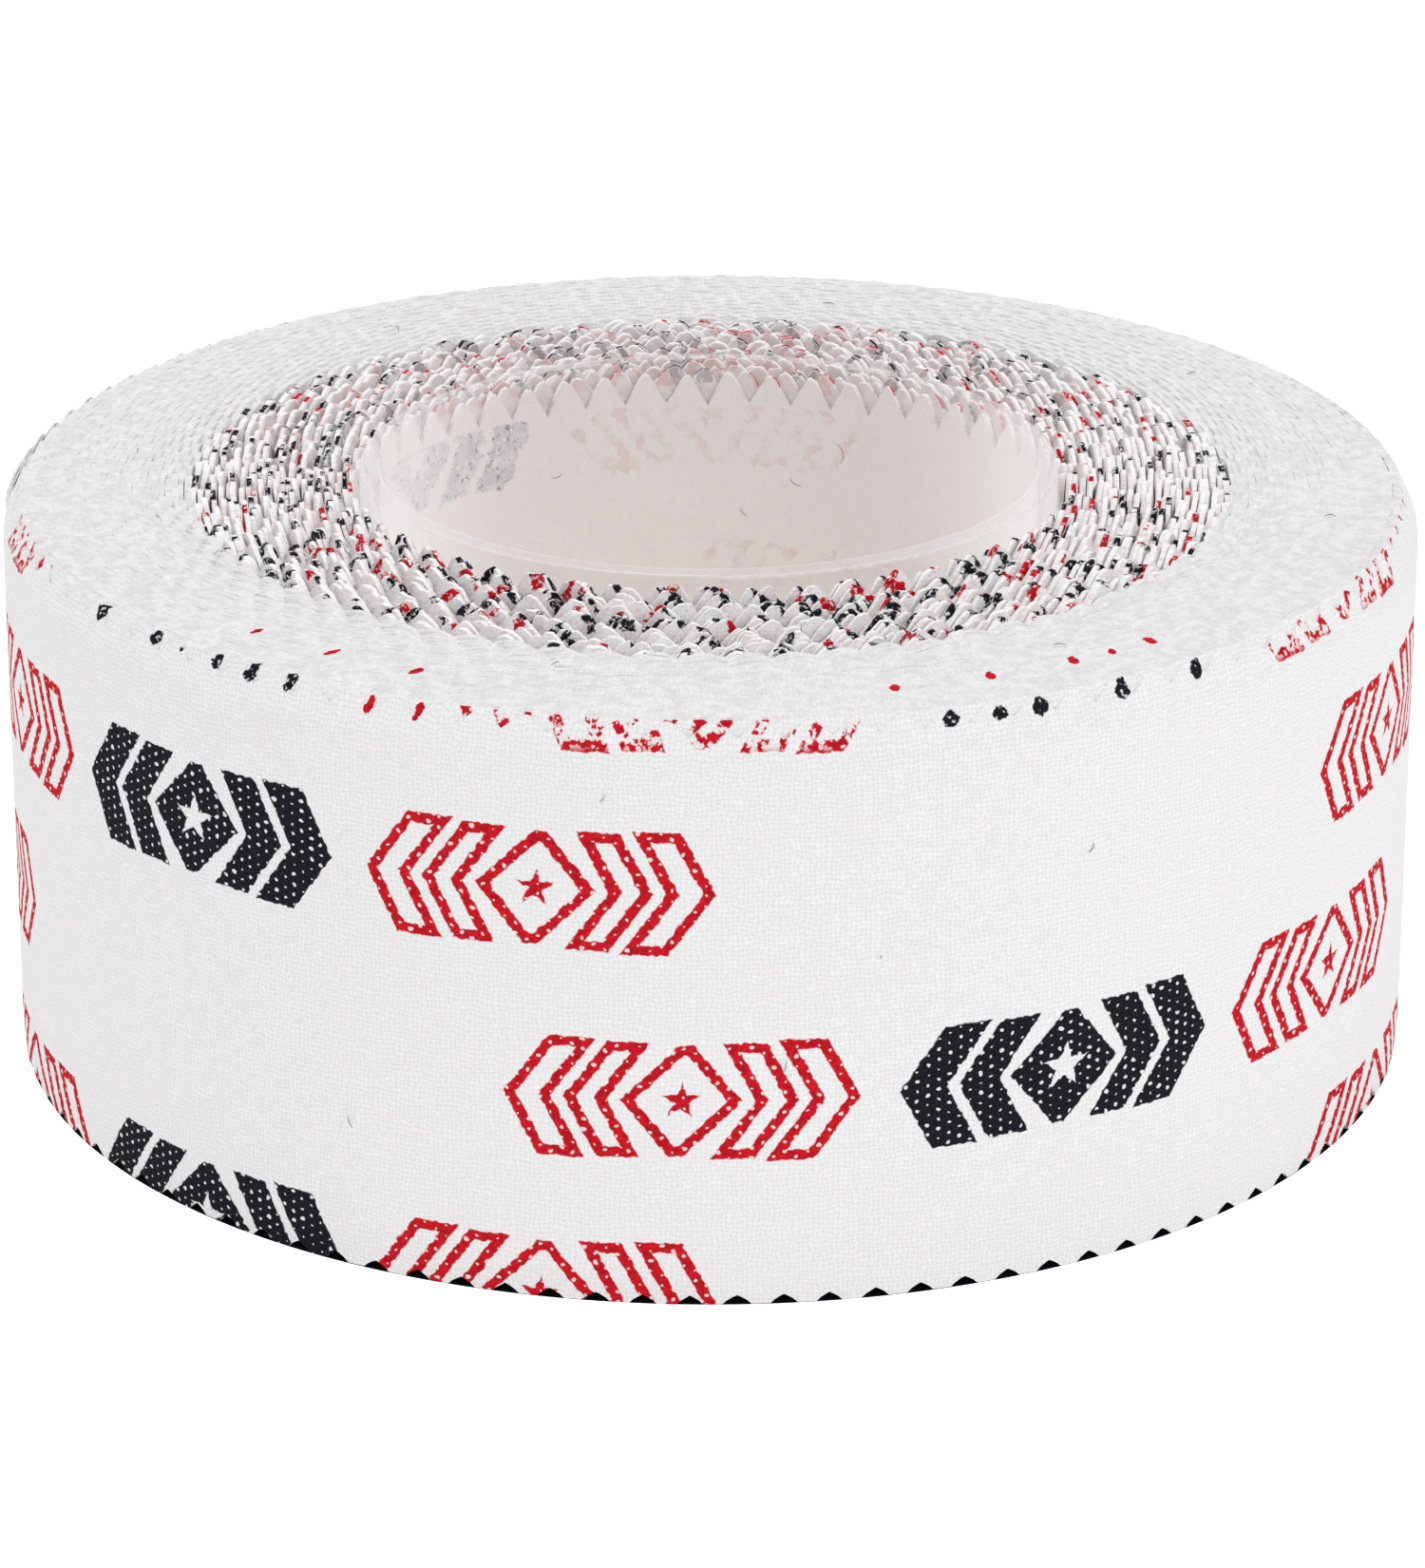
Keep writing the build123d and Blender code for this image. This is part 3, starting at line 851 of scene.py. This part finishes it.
def pale_floor(name):
    """A white floor that glows evenly, with a painted shadow where the roll stands on it: dark
    there, and not glowing.
    """
    shader = Material(name)
    x, y, _ = shader.position().split()
    radius = distance(x, y)
    behind = y > 0.0
    # each half of the outermost turn has its own centre and radius
    shifted_x = x + (behind - 0.5) * (2 * CENTRE * MM)
    outer_radius = 0.04638 - behind * 0.00023
    # painted shadow: the floor is dark and unlit under the wound strip, between the core and the
    # outermost turn
    under = radius.fade(zero=0.0234, one=0.0240) * (distance(shifted_x, y) < outer_radius)
    bore = radius.fade(zero=0.0222, one=0.0216)
    lit = 1.0 - under
    seen = shader.camera_ray() * (1.0 - bore)
    return shader.finish_principled({
        "Base Color": shader.mix(under, low=(0.97, 0.97, 0.97), high=(0.015, 0.014, 0.020)),
        "Roughness": 0.8, "Specular IOR Level": 0.0, "Emission Color": (1.0, 1.0, 1.0),
        # glow everywhere but in the painted shadow, more where the camera sees it, a little
        # inside the core
        "Emission Strength": lit * (0.16 + seen * 1.0 + bore * 0.26)})


cloth = Layer(CLOTH_IN, CLOTH_OUT, 1.0, cotton("cotton_printed"), "cotton_cloth")
glue = Layer(0.0, ADHESIVE_T, 0.0, adhesive("adhesive_coat"), "adhesive")
core_material = clear_core("core_clear")
lint_material = lint("lint_dark")


# ---------------------------------------------------------------- wound pieces
# (name, first turn, last turn, columns, rows, body rows)
WOUND_CLOTH = [
    ("wound_cloth_1", 1.3, 15.0, COARSE, COARSE_ROWS, ()),
    ("wound_cloth_2", 15.0, 27.0, COARSE, COARSE_ROWS, ()),
    ("wound_cloth_3", 27.0, 38.0, COARSE, COARSE_ROWS, ()),
    ("wound_cloth_4", 38.0, 48.3, COARSE, COARSE_ROWS, ()),
    ("wound_cloth_core_side", 0.0, 1.3, FINE, FINE_ROWS, ()),
    ("wound_cloth_under_shell", 48.3, 49.9, FINE, FINE_ROWS, ()),
    ("wound_cloth_shell", 49.9, TURN_BASE, FINE, FINE_ROWS, BODY)]
WOUND_GLUE = [
    ("wound_adhesive_1", 0.0, 26.0),
    ("wound_adhesive_2", 26.0, 43.0),
    ("wound_adhesive_3", 43.0, TURN_BASE)]

for name, start, end, columns, rows, body_rows in WOUND_CLOTH:
    ob = strip(name, cloth, start, end, columns, rows, body_rows, flare=1.0)
    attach(ob, "roll")
    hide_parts("wound_cloth")
for name, start, end in WOUND_GLUE:
    ob = strip(name, glue, start, end, SPARSE, GLUE_ROWS, inset=GLUE_INSET)
    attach(ob, "roll")
    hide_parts("wound_adhesive")


# ---------------------------------------------------------------- tail
HALF_BEND = 11.5 / 2 * MM       # half the length of the stretch about a hinge
BEND_GAP = 0.0001
FIRST_BEND_END = 0.0042


def hinge(i):
    """Place of hinge i, and the direction of the strip there."""
    angle = math.radians(TAIL_START + i * LINK_DEG)
    place = Vector((-CENTRE + OUTER_R * math.cos(angle), OUTER_R * math.sin(angle),
                    TAPE_WIDTH / 2)) * MM
    return place, Vector((-math.sin(angle), math.cos(angle), 0))


for i in range(LINKS):
    first_turn = TURN_BASE if i == 0 else TURN_TAIL + (i - 0.5) * LINK_DEG / 360
    last_turn = TURN_END if i == LINKS - 1 else TURN_TAIL + (i + 0.5) * LINK_DEG / 360
    place, heading = hinge(i)
    # ends of the stretch about each hinge; at the first two hinges it starts just beyond the
    # hinge
    start = place + heading * BEND_GAP if i < 2 else place - heading * HALF_BEND
    end = place + heading * (FIRST_BEND_END if i == 0 else HALF_BEND)
    for kind, layer, columns, rows, inset in (
            ("cloth", cloth, FINE, FINE_ROWS, CLOTH_INSET),
            ("adhesive", glue, COARSE, COARSE_ROWS, TAIL_GLUE_INSET)):
        ob = strip(f"tail_{kind}_{i + 1}_sheet", layer, first_turn, last_turn, columns, rows,
                   BODY, inset=inset)
        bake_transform(ob)
        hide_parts(f"tail_{kind}_{i + 1}")

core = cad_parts["core_tube"]
core.data.materials.clear()
core.data.materials.append(core_material)


# ---------------------------------------------------------------- lint
FIBRE_R = 0.026
ON_SHELL, OFF_SHELL, IN_BORE = SHELL_R + 0.02, SHELL_R + 0.12, CORE_INNER_R - 0.02
# fibres on a cylinder: (azimuth, height, cylinder radius, length, heading in degrees,
# curl in radians[, steps])
ROUND_FIBRES = [
    (-77.2, 22.6, ON_SHELL, 0.35, 80, 0.4, 3), (-84.5, 15.4, ON_SHELL, 1.5, 62, 0.6),
    (-60.5, 27.5, ON_SHELL, 1.1, 15, 1.3), (-118.0, 9.5, ON_SHELL, 1.3, 140, -0.9),
    (-98.0, 33.0, ON_SHELL, 0.9, 30, 0.8), (20.0, 21.0, OFF_SHELL, 1.8, 50, 1.5),
    (160.0, 14.0, OFF_SHELL, 1.6, 10, -1.2), (230.0, 28.0, ON_SHELL, 1.2, 100, 0.9),
    (66.0, 33.4, IN_BORE, 2.6, 200, 1.9), (75.0, 30.6, IN_BORE, 1.7, 250, -1.2),
    (83.0, 27.6, IN_BORE, 1.2, 20, 1.0), (118.0, 31.5, IN_BORE, 1.4, 300, 1.6)]
# fibres on top of the roll: (x, y, length, heading in degrees, curl in radians)
FLAT_FIBRES = [
    (-31.5, -16.5, 1.6, 40, 1.2), (-38.0, 4.0, 1.2, 110, -0.8), (33.0, 21.0, 1.5, 15, 1.0),
    (40.5, -9.0, 1.1, 160, 0.7), (-22.0, 31.0, 1.7, 60, 1.4), (9.0, 37.5, 1.3, 200, -1.1),
    (21.0, -33.0, 1.2, 330, 0.9), (-9.5, -36.5, 0.9, 20, 0.8), (28.0, -9.0, 1.5, 100, 1.3)]
FLAT_Z, FLAT_RISE = 38.08, 0.12


def fibre_track(length, heading, curl, steps):
    """Points of a curling line in a plane, from (0, 0)."""
    track, x, y, angle = [], 0.0, 0.0, math.radians(heading)
    for i in range(steps + 1):
        track.append((x, y))
        x += math.cos(angle) * length / steps
        y += math.sin(angle) * length / steps
        angle += curl / steps * (1.0 + 0.8 * math.sin(i * 0.9))
    return track


def round_fibre(azimuth, z, radius, length, heading, curl, steps=14):
    angle = math.radians(azimuth)
    return [(radius * math.cos(angle + x / radius), radius * math.sin(angle + x / radius), z + y)
            for x, y in fibre_track(length * 0.62, heading, curl, steps)]


def flat_fibre(x, y, length, heading, curl, steps=14):
    track = fibre_track(length * 0.7, heading, curl, steps)
    return [(x + along, y + across, FLAT_Z + FLAT_RISE * math.sin(math.pi * i / steps))
            for i, (along, across) in enumerate(track)]


def tubes(name, lines, radius):
    """Closed four-sided tubes along the lines, tapering to their ends."""
    points, quads = [], []
    for line in lines:
        line = np.array(line)
        last = len(line) - 1
        for i, point in enumerate(line):
            tangent = line[min(i + 1, last)] - line[max(i - 1, 0)]
            tangent = tangent / np.linalg.norm(tangent)
            side = np.cross(tangent, [0.13, 0.31, 0.94])
            side /= np.linalg.norm(side)
            up = np.cross(side, tangent)
            width = radius * (0.35 + 0.65 * math.sin(math.pi * (i + 0.5) / len(line)) ** 0.5)
            base = len(points)
            for j in range(4):
                angle = j * math.pi / 2
                points.append(point + width * (side * math.cos(angle) + up * math.sin(angle)))
            if i:
                for j in range(4):
                    after = (j + 1) % 4
                    quads.append((base - 4 + j, base - 4 + after, base + after, base + j))
            if i == 0:
                quads.append((base + 3, base + 2, base + 1, base))
            if i == last:
                quads.append((base, base + 1, base + 2, base + 3))
    return quad_mesh(name, np.array(points) * MM, np.array(quads))


fibres = [round_fibre(*row) for row in ROUND_FIBRES] + [flat_fibre(*row) for row in FLAT_FIBRES]
ob = dress(tubes("lint_fibres", fibres, FIBRE_R), lint_material)
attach(ob, "roll")


# ---------------------------------------------------------------- floor, world and lights
FLOOR_HALF, FLOOR_Z = 3.0, -0.00005     # metres


def build_floor():
    material = pale_floor("floor_pale")
    mesh = bpy.data.meshes.new("floor")
    corners = [(x * FLOOR_HALF, y * FLOOR_HALF, FLOOR_Z)
               for x, y in ((-1, -1), (1, -1), (1, 1), (-1, 1))]
    mesh.from_pydata(corners, [], [(0, 1, 2, 3)])
    ob = bpy.data.objects.new("floor", mesh)
    bpy.context.scene.collection.objects.link(ob)
    mesh.materials.append(material)


def build_world():
    """White surroundings, brighter to the camera than as a light."""
    light_strength, camera_extra = 0.72, 0.40
    world = bpy.data.worlds.new("studio")
    bpy.context.scene.world = world
    world.use_nodes = True
    graph = Graph(world.node_tree)
    strength = graph.camera_ray().multiply_add(camera_extra, light_strength)
    graph.feed(world.node_tree.nodes["Background"], {0: (1.0, 1.0, 1.0), 1: strength})


def softbox(name, location, size, power):
    """A round area light aimed at the middle of the roll."""
    light = bpy.data.lights.new(name, "AREA")
    light.shape = "DISK"
    light.size = size
    light.energy = power
    ob = bpy.data.objects.new(name, light)
    ob.location = location
    ob.rotation_mode = "QUATERNION"
    aim = Vector((0, 0, 0.02)) - Vector(location)
    ob.rotation_quaternion = aim.to_track_quat("-Z", "Y")
    bpy.context.scene.collection.objects.link(ob)


def build_camera():
    elevation, reach = math.radians(21.08), 0.4212      # above the horizon; metres away
    data = bpy.data.cameras.new("camera")
    data.sensor_width = 36.0
    data.lens = 144.3
    data.shift_x = 0.0023
    data.shift_y = -0.0273
    data.clip_start = 0.01
    data.clip_end = 20
    camera = bpy.data.objects.new("camera", data)
    backward = Vector((0, -math.cos(elevation), math.sin(elevation)))
    camera.location = Vector((0, 0, TAPE_WIDTH / 2 * MM)) + backward * reach
    camera.rotation_mode = "QUATERNION"
    camera.rotation_quaternion = (-backward).to_track_quat("-Z", "Y")
    bpy.context.scene.collection.objects.link(camera)
    bpy.context.scene.camera = camera


build_floor()
build_world()
cycles = bpy.context.scene.cycles
cycles.max_bounces = 14
cycles.diffuse_bounces = 8
cycles.transparent_max_bounces = 24
softbox("key", location=(0.60, -0.55, 0.50), size=0.5, power=0.95)
softbox("top", location=(-0.10, 0.05, 0.85), size=0.40, power=1.6)
build_camera()
bpy.context.scene.view_settings.view_transform = "Standard"

bpy.context.view_layer.update()
